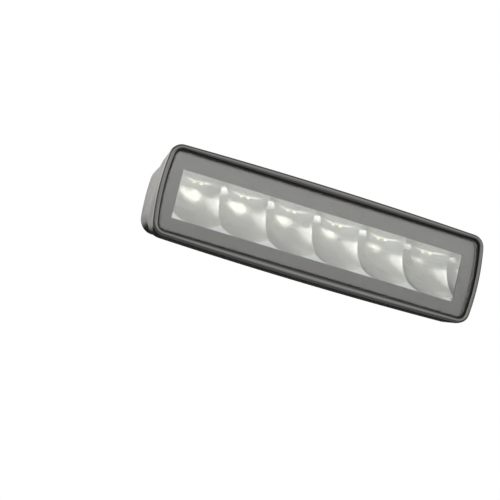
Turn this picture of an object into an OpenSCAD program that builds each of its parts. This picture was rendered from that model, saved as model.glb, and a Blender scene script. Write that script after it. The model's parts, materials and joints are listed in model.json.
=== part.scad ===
/* [Light bar] */
// Overall length across the bowed ends of the front frame
bar_len = 219.4; // [218:0.2:221]
// Height of the front frame at its corners
bezel_h = 59; // [58.5:0.1:59.5]
// How far each end bows outward in the middle
end_bow = 2.8; // [2.4:0.1:3]
// How far the top and bottom edges bow outward in the middle
side_bow = 1.5; // [1.3:0.1:1.7]
// Corner radius of the front frame
corner_r = 8.2; // [8:0.1:8.5]

/* [Lens] */
// Inset of the lens edge from the outside of the front frame
lens_inset = 4.2; // [4:0.1:4.6]
// Inset of the front frame's inner edge, so the seal shows between the two
bezel_inset = 2.9; // [2.7:0.1:3]
// Lens thickness
lens_t = 3.2; // [3:0.1:3.4]
// Width of the clear window in the printed border
window_len = 193; // [190:0.5:194]
// Top edge of the clear window above the lens centre
window_top = 15; // [14.5:0.1:15.5]
// Bottom edge of the clear window below the lens centre
window_bottom = 16.4; // [16:0.1:16.6]

/* [Optics] */
// Number of reflector bowls and of light sources
cells = 6; // [6:1:6]
// Distance between neighbouring bowls
pitch = 32.1; // [32:0.05:32.1]
// Focal length of each bowl
focal = 8.2; // [8.1:0.05:8.3]
// Distance of the light sources behind the lens face
focus_y = 25.4; // [25.2:0.1:25.5]
// Height of the bowl axes above the lens centre
focus_z = 13.8; // [13.7:0.1:13.9]

/* [Housing] */
// Radius of the curved back of the housing
back_r = 54; // [53.8:0.1:54.2]
// Thickness of a cooling fin
fin_t = 2.3; // [2:0.1:2.6]
// Number of cooling fins between the lugs
fins = 21; // [19:2:23]

/* [Bracket] */
// Distance from the lens face to the bracket's back face
bracket_back = 78; // [77:0.5:80]
// Width of the bracket strap
strap_w = 20; // [18:0.5:20]
// Thickness of the bracket strap
strap_t = 3; // [2.5:0.1:3]
// Distance between the two mounting slots
slot_spacing = 80; // [70:1:90]
// Length of each mounting slot, end to end
slot_len = 16; // [12:1:20]
// Half of a mounting slot's width
slot_r = 3.3; // [3:0.1:3.4]

/* [Hidden] */
$fn = 48;
eps = 0.01;
thread_gap = 0.02;
screw_play = 0.2;
big = 300;

// The front outline: bowed ends and round corners, with a crown on the top and bottom outside
bow_r = (pow(bezel_h / 2, 2) + pow(end_bow, 2)) / (2 * end_bow);
bow_cx = bar_len / 2 - bow_r;
corner_z = bezel_h / 2 - corner_r;
corner_x = bow_cx + sqrt(pow(bow_r - corner_r, 2) - pow(corner_z, 2));
crown_r = (pow(corner_x, 2) + pow(side_bow, 2)) / (2 * side_bow);
crown_steps = 18;

// Depths of the front layers, measured back from the lens face
bezel_front = -1.2;
bezel_edge = 0.7;
bezel_back = 3.2;
rim_y = 4.2;
tongue_front = 2.2;
tongue_outer = 1.25;
tongue_inner = 2.1;
tongue_play = 0.1;
mask_t = 0.15;
mask_margin = 0.1;
gasket_front = 1.0;
gasket_inset = 6.4;
gasket_play = 0.02;

// The housing's outside: a band behind the front frame, a shoulder and a round back
band_step = 0.1;
side_step = 0.3;
end_step = 0.4;
side_draft = 4.7;
end_draft = 4;
band_back_y = 17.5;
shoulder_y = 20.5;
rear_y = 24.4;
top_corner = [47.5, 20];
top_corner_r = 3;
bottom_corner = [46, -17.2];
bottom_corner_r = 4.5;
back_cz = 1;
clear_z = 33;
wall_back = 56;

// The space inside the housing
cavity_x = 103.1;
mouth_z = 22.6;
ledge_y = 13.4;
ledge_z = 18.3;
floor_z = 18.8;
inner_back = 39.5;
fin_root = 42.6;
fin_zone = 160;
fin_pitch = fin_zone / fins;

// Reflector
vertex_y = focus_y + focal;
bowl_wall = 2.4;
bowl_steps = 14;
ceiling_z = 14.2;
ceiling_t = 1.2;
basin_z = 16.6;
sheet_t = 1.2;
flange_y = 6.6;
flange_t = 1.4;
flange_x = 102.8;
flange_z = 21.4;
reflector_front = 4.2;
led_hole_r = 3.3;
boss_x = 100.4;
boss_z = 18.2;
boss_r = 2.85;
cell_xs = [for (i = [0 : cells - 1]) (i - (cells - 1) / 2) * pitch];
half_row = cells * pitch / 2;

// Light source board
board_z = 15.9;
board_t = 1.6;
board_x = 94;
board_y0 = 14;
board_y1 = 37;
led_size = 3.5;
led_t = 1.0;
phosphor_r = 1.4;
phosphor_t = 0.5;
board_screw_y = 34;
board_screw_xs = [-2 * pitch, 0, 2 * pitch];

// Driver board
driver_y = 36.4;
driver_t = 1.6;
driver_x0 = -30;
driver_x1 = 76;
driver_z0 = -18;
driver_z1 = 3;
driver_screw_xs = [-25, 8, 71];
driver_screw_z = -1.5;
link_x = pitch;
link_y = 34.4;
plug_w = 6;
plug_h = 4;
socket_top = 2.5;
lead_r = 0.7;

// M3 screws
m3_r = 1.5;
m3_head_r = 2.6;
m3_head_t = 1.6;

// Cable gland and vent, in pockets of the fins
gland_x = -52;
gland_z = -7;
gland_pocket_r = 13;
gland_boss_r = 9.5;
gland_seat = 44.5;
gland_thread_r = 6;
gland_bore_r = 3.4;
cable_r = 3;
o_ring_t = 1;
flange_back = gland_seat + o_ring_t + 3;
gland_top = flange_back + 3.5;
nut_back = flange_back + 7.5;
seal_front = flange_back - 1.5;
seal_back = nut_back - 2;
seal_r = 4.45;
vent_x = 52;
vent_pocket_r = 9;
vent_r = 3;
vent_cap_r = 6;
vent_seat = fin_root + 0.8;
vent_back = vent_seat + 3.4;

// Pivot of the head in the bracket
pivot_y = 59;
pivot_z = 11.3;
pivot_r = 2.5;
pivot_play = 0.06;
lug_in = 84.3;
lug_out = 92.2;
lug_r = 7;
ear_in = 92.5;
washer_t = 1;
washer_r = 5;
head_in = ear_in + strap_t + washer_t;
head_t = 5;
head_r = 4.25;
key_r = 2.31;
key_depth = 2.6;
pivot_tip = 84.8;
pocket_r = 12;
pocket_out = 103.2;

// Bracket plan: a flat middle, two slanting arms and two ears
flat_x = 60;
bend_y = 70.5;
slant = atan((bracket_back - bend_y) / (ear_in + strap_t - flat_x));

// Points of an arc in the plane of a profile
function arc(c, r, a0, a1, n) =
    [for (i = [0 : n]) c + r * [cos(a0 + (a1 - a0) * i / n), sin(a0 + (a1 - a0) * i / n)]];
function mirrored(points) = [for (i = [len(points) - 1 : -1 : 0]) [-points[i][0], points[i][1]]];
// Depth of a bowl at a distance from its axis
function bowl_y(r, shift) = vertex_y + shift - r * r / (4 * focal);

back_low = atan2(bottom_corner[1] - back_cz, bottom_corner[0]);
back_high = atan2(top_corner[1] - back_cz, top_corner[0]);
side_profile = concat(
    [[rim_y, -clear_z], [band_back_y, -clear_z], [shoulder_y, -26.5], [rear_y, -23.6], [28, -22.6]],
    arc(bottom_corner, bottom_corner_r, -92, back_low, 5),
    arc([0, back_cz], back_r, back_low + 0.5, back_high - 0.5, 10),
    arc(top_corner, top_corner_r, back_high, 92, 5),
    [[26.5, 23.6], [rear_y, 24.3], [shoulder_y, 27], [band_back_y, clear_z], [rim_y, clear_z]]
);
cavity_profile = [
    [rim_y - 1, -mouth_z], [20, -mouth_z], [25, -floor_z], [inner_back, -floor_z],
    [inner_back, ledge_z], [ledge_y, ledge_z], [ledge_y - 1, mouth_z], [rim_y - 1, mouth_z]
];

// Moves a piece of the head from its own frame (lens face, lens centre) to the bracket's frame
module in_head() {
    translate([0, -bracket_back, -pivot_z]) children();
}

module along_x(x0, x1) {
    translate([x0, 0, 0]) rotate([90, 0, 90]) linear_extrude(x1 - x0) children();
}

module along_y(y0, y1) {
    translate([0, y1, 0]) rotate([90, 0, 0]) linear_extrude(y1 - y0) children();
}

module rod_x(x0, x1, r) {
    translate([x0, 0, 0]) rotate([0, 90, 0]) cylinder(h = x1 - x0, r = r);
}

module rod_y(y0, y1, r) {
    translate([0, y0, 0]) rotate([-90, 0, 0]) cylinder(h = y1 - y0, r = r);
}

module mirrored_corners() {
    for (sx = [0, 1], sz = [0, 1]) mirror([sx, 0]) mirror([0, sz]) children();
}

module corner_discs(r) {
    for (sx = [-1, 1], sz = [-1, 1]) translate([sx * corner_x, sz * corner_z]) circle(r = r);
}

module at_bosses() {
    for (sx = [-1, 1], sz = [-1, 1]) translate([sx * boss_x, 0, sz * boss_z]) children();
}

// Inner outlines: bowed ends, straight top and bottom, inset evenly
module straight_outline(inset) {
    out = 3 * corner_r;
    lean = [corner_x - bow_cx, corner_z] / (bow_r - corner_r);
    difference() {
        intersection() {
            square([bar_len, bezel_h - 2 * inset], center = true);
            translate([bow_cx, 0]) circle(r = bow_r - inset, $fn = 360);
            translate([-bow_cx, 0]) circle(r = bow_r - inset, $fn = 360);
        }
        mirrored_corners() translate([corner_x, corner_z])
            polygon([[0, 0], out * lean, [out, out], [0, out]]);
    }
    corner_discs(corner_r - inset);
}

// Area under the crown's wide arc, down to a level
module crown(top, reach, low) {
    swing = asin(reach / crown_r);
    polygon(concat(
        [[reach, low]],
        arc([0, top - crown_r], crown_r, 90 - swing, 90 + swing, crown_steps),
        [[-reach, low]]
    ));
}

// Outer outlines: the same, with a shallow crown on the top and bottom
module crowned_outline(inset) {
    straight_outline(inset);
    for (sz = [0, 1]) mirror([0, sz]) crown(bezel_h / 2 + side_bow - inset, corner_x, 0);
}

module straight_ring(outer, inner) {
    difference() {
        straight_outline(outer);
        straight_outline(inner);
    }
}

module box(x0, x1, y0, y1, z0, z1) {
    translate([x0, y0, z0]) cube([x1 - x0, y1 - y0, z1 - z0]);
}

// Screw along +Y with its head at the front
module m3_screw(y0, tip) {
    difference() {
        union() {
            rod_y(y0 - m3_head_t, y0, m3_head_r);
            rod_y(y0 - eps, tip, m3_r);
        }
        rod_y(y0 - m3_head_t - eps, y0 - m3_head_t + 0.9, 1);
    }
}

// Flat strap bent to a flat middle and two ears, with mounting slots
module bracket() {
    ear_out = ear_in + strap_t;
    turn = (90 - slant) / 2;
    outer = [[ear_out, pivot_y - strap_w], [ear_out, bend_y], [flat_x, bracket_back]];
    inner = [
        [flat_x - strap_t * tan(slant / 2), bracket_back - strap_t],
        [ear_in, bend_y - strap_t * tan(turn)],
        [ear_in, pivot_y - strap_w]
    ];
    color([0.09, 0.09, 0.09]) in_head() difference() {
        intersection() {
            translate([0, 0, pivot_z - strap_w / 2]) linear_extrude(strap_w)
                polygon(concat(outer, mirrored(outer), mirrored(inner), inner));
            translate([0, pivot_y, pivot_z]) union() {
                rod_x(-big / 2, big / 2, strap_w / 2);
                box(-big / 2, big / 2, 0, big, -strap_w, strap_w);
            }
        }
        translate([0, pivot_y, pivot_z]) rod_x(-big / 2, big / 2, pivot_r + pivot_play);
        for (sx = [-1, 1]) translate([sx * slot_spacing / 2, 0, pivot_z])
            along_y(bracket_back - 2 * strap_t, bracket_back + strap_t) union() {
                square([slot_len - 2 * slot_r, 2 * slot_r], center = true);
                for (e = [-1, 1]) translate([e * (slot_len / 2 - slot_r), 0]) circle(r = slot_r);
            }
    }
}

module pivot_washers() {
    color([0.5, 0.5, 0.52]) in_head() for (sx = [0, 1]) mirror([sx, 0, 0])
        translate([0, pivot_y, pivot_z]) difference() {
            rod_x(ear_in + strap_t, head_in, washer_r);
            rod_x(ear_in, head_in + 1, pivot_r + pivot_play);
        }
}

module pivot_screws() {
    color([0.12, 0.12, 0.12]) in_head() for (sx = [0, 1]) mirror([sx, 0, 0])
        translate([0, pivot_y, pivot_z]) difference() {
            union() {
                rod_x(pivot_tip, head_in + eps, pivot_r);
                rod_x(head_in, head_in + head_t, head_r);
            }
            translate([head_in + head_t - key_depth, 0, 0]) rotate([0, 90, 0])
                cylinder(h = 2 * key_depth, r = key_r, $fn = 6);
        }
}

// Everything inside one bowed end wall, which leans inward towards the back
module bowed_end() {
    translate([bar_len / 2 - end_step, rim_y, 0]) rotate([0, 0, end_draft])
        translate([-bow_r, 0, 0]) rod_y(-rim_y, 2 * wall_back, bow_r, $fn = 360);
}

// Everything under the bowed top, which leans inward towards the back
module bowed_top() {
    translate([0, rim_y, bezel_h / 2 + side_bow - side_step]) rotate([-side_draft, 0, 0])
        along_y(-rim_y, 2 * wall_back) crown(0, bar_len / 2, -big / 2);
}

module housing_block() {
    intersection() {
        along_x(-big / 2, big / 2) polygon(side_profile);
        along_y(rim_y, wall_back) crowned_outline(band_step);
        bowed_end();
        mirror([1, 0, 0]) bowed_end();
        bowed_top();
        mirror([0, 0, 1]) bowed_top();
    }
}

module housing_lugs() {
    for (sx = [0, 1]) mirror([sx, 0, 0]) {
        translate([0, pivot_y, pivot_z]) rod_x(lug_in, lug_out, lug_r);
        along_x(lug_in, lug_out) polygon([
            [back_r - 10, pivot_z + lug_r + 1], [pivot_y, pivot_z + lug_r],
            [pivot_y, pivot_z - lug_r], [back_r - 8, pivot_z - lug_r - 6]
        ]);
    }
}

module fin_slots() {
    for (i = [0 : fins - 1]) {
        x = (i - (fins - 1) / 2) * fin_pitch;
        box(x - (fin_pitch - fin_t) / 2, x + (fin_pitch - fin_t) / 2, fin_root, wall_back, -16.5, 17.5);
    }
}

module housing_bosses() {
    at_bosses() rod_y(flange_y + flange_t, inner_back + 1, boss_r);
    for (x = driver_screw_xs) translate([x, 0, driver_screw_z])
        rod_y(driver_y + driver_t, inner_back + 1, boss_r);
}

// Die-cast body: band, shoulder, curved back with fins, tongue round the front and two lugs
module housing() {
    color([0.10, 0.10, 0.10]) in_head() difference() {
        union() {
            difference() {
                housing_block();
                along_x(-cavity_x, cavity_x) polygon(cavity_profile);
                fin_slots();
                translate([gland_x, 0, gland_z]) rod_y(fin_root, wall_back + 1, gland_pocket_r);
                translate([vent_x, 0, gland_z]) rod_y(fin_root, wall_back + 1, vent_pocket_r);
                for (sx = [0, 1]) mirror([sx, 0, 0]) translate([0, pivot_y, pivot_z])
                    rod_x(lug_out, pocket_out, pocket_r);
            }
            along_y(tongue_front, rim_y + eps) straight_ring(tongue_outer, tongue_inner);
            translate([gland_x, 0, gland_z]) rod_y(inner_back, gland_seat, gland_boss_r);
            translate([vent_x, 0, gland_z]) rod_y(inner_back, vent_seat, vent_cap_r + 0.5);
            housing_lugs();
            housing_bosses();
        }
        translate([gland_x, 0, gland_z]) rod_y(inner_back - 1, wall_back, gland_thread_r + thread_gap);
        translate([vent_x, 0, gland_z]) rod_y(inner_back - 1, wall_back, vent_r + thread_gap);
        translate([0, pivot_y, pivot_z]) rod_x(-big / 2, big / 2, pivot_r + thread_gap);
        at_bosses() rod_y(0, flange_y + 9, m3_r + thread_gap);
        for (x = board_screw_xs) translate([x, board_screw_y, board_z])
            cylinder(h = 5.8, r = m3_r + thread_gap);
        for (x = driver_screw_xs) translate([x, 0, driver_screw_z])
            rod_y(driver_y, driver_y + 5, m3_r + thread_gap);
    }
}

module front_bezel() {
    color([0.07, 0.07, 0.07]) in_head() difference() {
        union() {
            along_y(bezel_front, bezel_front + bezel_edge + eps) crowned_outline(bezel_edge);
            along_y(bezel_front + bezel_edge, bezel_back) crowned_outline(0);
        }
        along_y(bezel_front - 1, bezel_back + 1) straight_outline(bezel_inset);
        along_y(tongue_front - tongue_play, bezel_back + 1)
            straight_ring(tongue_outer - tongue_play, tongue_inner + tongue_play);
    }
}

module lens() {
    color([0.85, 0.88, 0.90, 0.35]) in_head() along_y(0, lens_t) straight_outline(lens_inset);
}

// Printed border on the back of the lens
module lens_mask() {
    color([0.02, 0.02, 0.02]) in_head() along_y(lens_t, lens_t + mask_t) difference() {
        straight_outline(lens_inset + mask_margin);
        translate([-window_len / 2, -window_bottom]) square([window_len, window_top + window_bottom]);
    }
}

// Seal between the lens, the housing and the front frame
module lens_gasket() {
    color([0.01, 0.01, 0.01]) in_head() union() {
        along_y(gasket_front, rim_y) straight_ring(bezel_inset + gasket_play, lens_inset);
        along_y(lens_t + mask_t, rim_y) straight_ring(bezel_inset + gasket_play, gasket_inset);
    }
}

module bowl(shift) {
    reach = sqrt(4 * focal * (vertex_y + shift));
    curve = [for (i = [0 : bowl_steps]) let (r = reach * i / bowl_steps) [r, bowl_y(r, shift)]];
    translate([0, 0, focus_z]) rotate([-90, 0, 0]) rotate_extrude()
        polygon(concat([[0, 0]], [for (i = [bowl_steps : -1 : 0]) curve[i]]));
}

module bowl_row(shift, z0, z1, spread) {
    for (x = cell_xs) intersection() {
        translate([x, 0, 0]) bowl(shift);
        box(x - pitch / 2 - spread, x + pitch / 2 + spread, reflector_front - eps, inner_back, z0, z1);
    }
}

// Six metallised bowls in one moulding, open to the front, with the sources in the ceiling
module reflector() {
    color([0.75, 0.75, 0.76]) in_head() difference() {
        union() {
            bowl_row(bowl_wall, -basin_z - sheet_t, ceiling_z + ceiling_t, eps);
            for (sx = [-1, 1]) intersection() {
                translate([sx * (half_row - pitch / 2), 0, 0]) bowl(bowl_wall);
                box(sx * half_row - sheet_t, sx * half_row + sheet_t, reflector_front,
                    inner_back, -basin_z - sheet_t, ceiling_z + ceiling_t);
            }
            box(-half_row - sheet_t, half_row + sheet_t, reflector_front, flange_y + flange_t,
                -basin_z - sheet_t, ceiling_z + ceiling_t);
            box(-flange_x, flange_x, flange_y, flange_y + flange_t, -flange_z, flange_z);
        }
        bowl_row(0, -basin_z, ceiling_z, 0);
        for (x = cell_xs) translate([x, focus_y, ceiling_z - 1]) cylinder(h = 4, r = led_hole_r);
        at_bosses() rod_y(0, flange_y + 3, m3_r + screw_play);
    }
}

module reflector_screws() {
    color([0.6, 0.6, 0.62]) in_head() at_bosses() m3_screw(flange_y, flange_y + 8.5);
}

module led_board() {
    color([0.85, 0.85, 0.82]) in_head() difference() {
        box(-board_x, board_x, board_y0, board_y1, board_z, board_z + board_t);
        for (x = board_screw_xs) translate([x, board_screw_y, board_z - 1])
            cylinder(h = 4, r = m3_r + screw_play);
    }
}

module thermal_pad() {
    color([0.45, 0.55, 0.65]) in_head() difference() {
        box(-board_x + 1, board_x - 1, board_y0 + 1, board_y1 - 1, board_z + board_t, ledge_z);
        for (x = board_screw_xs) translate([x, board_screw_y, board_z])
            cylinder(h = 4, r = m3_r + screw_play + 0.1);
    }
}

module led_packages() {
    color([0.9, 0.9, 0.88]) in_head() for (x = cell_xs)
        box(x - led_size / 2, x + led_size / 2, focus_y - led_size / 2, focus_y + led_size / 2,
            board_z - led_t, board_z);
}

module led_phosphors() {
    color([0.95, 0.8, 0.2]) in_head() for (x = cell_xs)
        translate([x, focus_y, board_z - led_t - phosphor_t]) cylinder(h = phosphor_t, r = phosphor_r);
}

module board_screws() {
    color([0.6, 0.6, 0.62]) in_head() for (x = board_screw_xs) translate([x, board_screw_y, board_z])
        rotate([90, 0, 0]) m3_screw(0, 5.5);
}

module led_connector() {
    color([0.9, 0.9, 0.85]) in_head()
        box(link_x - plug_w / 2, link_x + plug_w / 2, link_y - 2.4, link_y + 2, board_z - plug_h, board_z);
}

module driver_connector() {
    color([0.9, 0.9, 0.85]) in_head()
        box(link_x - plug_w / 2, link_x + plug_w / 2, link_y - 2, driver_y, -3.5, socket_top);
}

module board_leads() {
    color([0.7, 0.1, 0.1]) in_head() for (dx = [-1.4, 1.4]) translate([link_x + dx, link_y, socket_top])
        cylinder(h = board_z - plug_h - socket_top, r = lead_r);
}

module driver_board() {
    color([0.1, 0.35, 0.2]) in_head() difference() {
        box(driver_x0, driver_x1, driver_y, driver_y + driver_t, driver_z0, driver_z1);
        for (x = driver_screw_xs) translate([x, 0, driver_screw_z]) 
            rod_y(driver_y - 1, inner_back, m3_r + screw_play);
    }
}

module driver_screws() {
    color([0.6, 0.6, 0.62]) in_head() for (x = driver_screw_xs) translate([x, 0, driver_screw_z])
        m3_screw(driver_y, driver_y + 4.6);
}

module input_terminal() {
    color([0.1, 0.4, 0.2]) in_head()
        box(driver_x0 + 0.5, driver_x0 + 8.5, driver_y - 8, driver_y, -16.5, -6.5);
}

module driver_capacitors() {
    color([0.1, 0.1, 0.12]) in_head() for (x = [-14, -3, 62]) translate([x, 0, -12])
        rod_y(driver_y - 9, driver_y, 4);
}

module driver_inductors() {
    color([0.2, 0.2, 0.2]) in_head() for (x = [12, 46]) translate([x, 0, -11.5])
        difference() {
            rod_y(driver_y - 6, driver_y, 5.5);
            rod_y(driver_y - 7, driver_y - 4.5, 1.6);
        }
}

module driver_chips() {
    color([0.05, 0.05, 0.05]) in_head() for (x = [22, 30, 54])
        box(x - 2.5, x + 2.5, driver_y - 1.5, driver_y, -14, -9);
}

module cable_gland_body() {
    color([0.08, 0.08, 0.08]) in_head() translate([gland_x, 0, gland_z]) difference() {
        union() {
            rod_y(inner_back - 0.5, gland_seat + o_ring_t + eps, gland_thread_r);
            translate([0, gland_seat + o_ring_t, 0]) rotate([-90, 0, 0])
                cylinder(h = flange_back - gland_seat - o_ring_t, r = 8.5, $fn = 6);
            rod_y(flange_back - eps, gland_top, 5.5);
        }
        rod_y(inner_back - 1, gland_top + 1, gland_bore_r);
        rod_y(seal_front, gland_top + 1, seal_r + 0.05);
    }
}

// Rubber sleeve that grips the cable
module gland_seal() {
    color([0.05, 0.05, 0.05]) in_head() translate([gland_x, 0, gland_z]) difference() {
        rod_y(seal_front, seal_back, seal_r);
        rod_y(seal_front - 1, seal_back + 1, cable_r);
    }
}

module gland_nut() {
    color([0.08, 0.08, 0.08]) in_head() translate([gland_x, 0, gland_z]) difference() {
        union() {
            translate([0, flange_back + 0.1, 0]) rotate([-90, 0, 0])
                cylinder(h = 4.4, r = 7.6, $fn = 6);
            rod_y(flange_back + 0.1, nut_back, 6.6);
        }
        rod_y(flange_back - 1, gland_top + 0.2, 5.55);
        rod_y(flange_back - 1, seal_back, seal_r + 0.05);
        rod_y(flange_back, nut_back + 1, cable_r + 0.6);
    }
}

module ring_y(y0, t, mid_r) {
    translate([0, y0 + t / 2, 0]) rotate([-90, 0, 0]) rotate_extrude()
        translate([mid_r, 0]) circle(r = t / 2, $fn = 24);
}

module gland_o_ring() {
    color([0.02, 0.02, 0.02]) in_head() translate([gland_x, 0, gland_z])
        ring_y(gland_seat, o_ring_t, gland_thread_r + 0.7);
}

module vent_cap() {
    color([0.12, 0.12, 0.12]) in_head() translate([vent_x, 0, gland_z]) difference() {
        union() {
            rod_y(inner_back - 0.5, vent_seat + 1, vent_r);
            rod_y(vent_seat + 0.8, vent_back, vent_cap_r);
        }
        rod_y(inner_back - 1, vent_back - 1.2, 2.1);
        translate([0, vent_back - 1.6, 0]) for (a = [0, 90]) rotate([0, a, 0])
            box(-10, 10, -0.4, 0.4, -0.8, 0.8);
    }
}

module vent_membrane() {
    color([0.9, 0.9, 0.9]) in_head() translate([vent_x, 0, gland_z])
        rod_y(vent_seat, vent_seat + 0.3, 2.1 - thread_gap);
}

module vent_o_ring() {
    color([0.02, 0.02, 0.02]) in_head() translate([vent_x, 0, gland_z])
        ring_y(vent_seat, 0.8, vent_r + 0.6);
}

bracket();
pivot_washers();
housing();
front_bezel();
lens();
lens_mask();
lens_gasket();
reflector();
reflector_screws();
led_board();
led_packages();
led_phosphors();
thermal_pad();
board_screws();
led_connector();
board_leads();
driver_board();
driver_screws();
driver_connector();
input_terminal();
driver_capacitors();
driver_inductors();
driver_chips();
cable_gland_body();
gland_seal();
gland_nut();
gland_o_ring();
vent_cap();
vent_membrane();
vent_o_ring();
pivot_screws();
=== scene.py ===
"""The looks of an LED light bar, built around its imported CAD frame.

Sizes of modelled pieces are in millimetres in the lamp head's own frame: x along the bar, y to the
rear from the lens face, z up from the lens centre. head() turns them into the scene's metres.
"""
import json
import math

import bmesh
import bpy
from mathutils import Matrix, Vector


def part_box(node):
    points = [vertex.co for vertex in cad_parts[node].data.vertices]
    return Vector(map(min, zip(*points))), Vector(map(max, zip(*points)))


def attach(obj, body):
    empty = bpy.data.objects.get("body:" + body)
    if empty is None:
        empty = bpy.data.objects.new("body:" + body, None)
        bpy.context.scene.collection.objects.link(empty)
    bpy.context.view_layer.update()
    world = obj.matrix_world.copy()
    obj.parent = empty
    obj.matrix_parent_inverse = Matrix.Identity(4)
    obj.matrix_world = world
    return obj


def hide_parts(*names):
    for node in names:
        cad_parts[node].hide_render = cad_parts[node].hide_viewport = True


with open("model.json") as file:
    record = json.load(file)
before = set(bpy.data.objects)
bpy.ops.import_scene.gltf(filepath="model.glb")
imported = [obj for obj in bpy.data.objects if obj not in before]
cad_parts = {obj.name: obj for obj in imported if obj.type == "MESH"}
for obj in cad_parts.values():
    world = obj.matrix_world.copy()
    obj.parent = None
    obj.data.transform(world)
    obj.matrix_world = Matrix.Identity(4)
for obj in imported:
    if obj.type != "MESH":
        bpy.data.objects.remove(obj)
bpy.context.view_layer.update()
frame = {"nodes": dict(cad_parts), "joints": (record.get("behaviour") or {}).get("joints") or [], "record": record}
NODES = frame["nodes"]
MM = 0.001

# ---------------------------------------------------------------- places, from the frame
lens_low, lens_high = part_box("lens")
FACE_Y = lens_low.y
MID_Z = (lens_low.z + lens_high.z) / 2
bezel_low, bezel_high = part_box("front_bezel")
HALF_LEN = bezel_high.x / MM
SIDE_BOW = 1.5
HALF_H = (bezel_high.z - bezel_low.z) / 2 / MM - SIDE_BOW
PIVOT = Vector(frame["joints"][0]["pos_m"])
PIVOT_Y = (PIVOT.y - FACE_Y) / MM
PIVOT_Z = (PIVOT.z - MID_Z) / MM
PIVOT_LINE = (0, PIVOT_Y, PIVOT_Z)
SLOTS = next(m for m in frame["record"]["mounts"] if m["name"] == "bolt_slots")["dims"]


def head(x, y, z):
    """A point of the lamp head's own frame, in the scene's metres."""
    return Vector((x * MM, FACE_Y + y * MM, MID_Z + z * MM))


def rear_place(node):
    """Where a piece on the back is in x and z, in the head's own frame."""
    low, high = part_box(node)
    return (low.x + high.x) / 2 / MM, 0, ((low.z + high.z) / 2 - MID_Z) / MM


GLAND = rear_place("gland_seal")
VENT = rear_place("vent_cap")


# ---------------------------------------------------------------- sizes of the front, in mm
END_BOW = 2.8
CORNER_R = 8.2
CROWN_START = 1.35
CROWN_END = 2.5
LENS_INSET = 4.2
LENS_GAP = 0.02
LENS_T = 3.2
LENS_EDGE = 0.25
MASK_GAP = 0.03
MASK_T = 0.1
GASKET_FRONT, GASKET_BACK = 0.9, 4.1
BEZEL_INSET = 2.9
BEZEL_ROUND = 1.3
BEZEL_FRONT = -1.2
BEZEL_BACK = 3.2
SLIT = 0.05
WINDOW_HALF = 96.5
WINDOW_TOP = 15.0
WINDOW_BOTTOM = -16.4

BOW_R = (HALF_H**2 + END_BOW**2) / (2 * END_BOW)
BOW_CX = HALF_LEN - BOW_R
CORNER_CZ = HALF_H - CORNER_R
CORNER_CX = BOW_CX + math.sqrt((BOW_R - CORNER_R) ** 2 - CORNER_CZ**2)


# ---------------------------------------------------------------- mesh helpers
def arc(cx, cy, r, a0, a1, steps):
    """Points of an arc, from angle a0 to a1 in radians."""
    return [
        (cx + r * math.cos(a0 + (a1 - a0) * i / steps), cy + r * math.sin(a0 + (a1 - a0) * i / steps))
        for i in range(steps + 1)
    ]


def filleted(corners, steps):
    """An open line through corners (x, y, radius), each rounded by a curve that starts and ends where
    an arc of that radius would."""
    line = [corners[0][:2]]
    for before, here, after in zip(corners, corners[1:], corners[2:]):
        p, a, b = Vector(here[:2]), Vector(before[:2]), Vector(after[:2])
        u, v = (a - p).normalized(), (b - p).normalized()
        half = u.angle(v) / 2
        if here[2] <= 0 or half > math.radians(89.5):
            line.append(tuple(p))
            continue
        reach = min(here[2] / math.tan(half), 0.49 * (a - p).length, 0.49 * (b - p).length)
        for i in range(steps + 1):
            t = i / steps
            q = (p + u * reach) * (1 - t) ** 2 + p * 2 * t * (1 - t) + (p + v * reach) * t**2
            line.append(tuple(q))
    line.append(corners[-1][:2])
    return line


def crown(x):
    """How far the outer long edges bow outward at a point along the bar."""
    return SIDE_BOW * max(1 - (x / CORNER_CX) ** 2, 0)


def front_outline(inset, bow_steps=14, corner_steps=10, side_steps=24):
    """The lamp's front outline, inset evenly. Only the outermost outlines have the crown."""
    weight = min(max((CROWN_END - inset) / (CROWN_END - CROWN_START), 0), 1)
    lean = math.atan2(CORNER_CZ, CORNER_CX - BOW_CX)
    quarter = arc(BOW_CX, 0, BOW_R - inset, 0, lean, bow_steps)[:-1]
    quarter += arc(CORNER_CX, CORNER_CZ, CORNER_R - inset, lean, math.pi / 2, corner_steps)
    side = [CORNER_CX * (1 - 2 * i / side_steps) for i in range(1, side_steps)]
    top = [(x, HALF_H - inset + weight * crown(x)) for x in side]
    half = quarter + top + [(-x, z) for x, z in reversed(quarter)]
    return half + [(x, -z) for x, z in reversed(half[1:-1])]


def finish_mesh(name, points, faces, finish, body="lamp_head", angle=32, stands_for=()):
    """Makes an object from points and faces, gives it its finish and puts it on its body."""
    mesh = bpy.data.meshes.new(name)
    mesh.from_pydata([head(*p) for p in points], [], faces)
    mesh.validate()
    obj = bpy.data.objects.new(name, mesh)
    bpy.context.scene.collection.objects.link(obj)
    fix_normals(obj)
    mesh.shade_smooth()
    mesh.set_sharp_from_angle(angle=math.radians(angle))
    if finish:
        mesh.materials.append(FINISHES[finish])
        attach(obj, body)
    if stands_for:
        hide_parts(*stands_for)
    return obj


def fix_normals(obj):
    """Turns all faces outward."""
    bm = bmesh.new()
    bm.from_mesh(obj.data)
    bmesh.ops.recalc_face_normals(bm, faces=bm.faces)
    bm.to_mesh(obj.data)
    bm.free()


def bridge(loops, closed=True, caps=False):
    """A mesh from loops of equal length. closed joins the last to the first, and caps fills both ends."""
    count = len(loops[0])
    points = [p for loop in loops for p in loop]
    faces = []
    rows = len(loops) if closed else len(loops) - 1
    for j in range(rows):
        a, b = j * count, (j + 1) % len(loops) * count
        for i in range(count):
            k = (i + 1) % count
            faces.append((a + i, a + k, b + k, b + i))
    if caps:
        faces.append(tuple(range(count)))
        faces.append(tuple(reversed(range(len(points) - count, len(points)))))
    return points, faces


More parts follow.
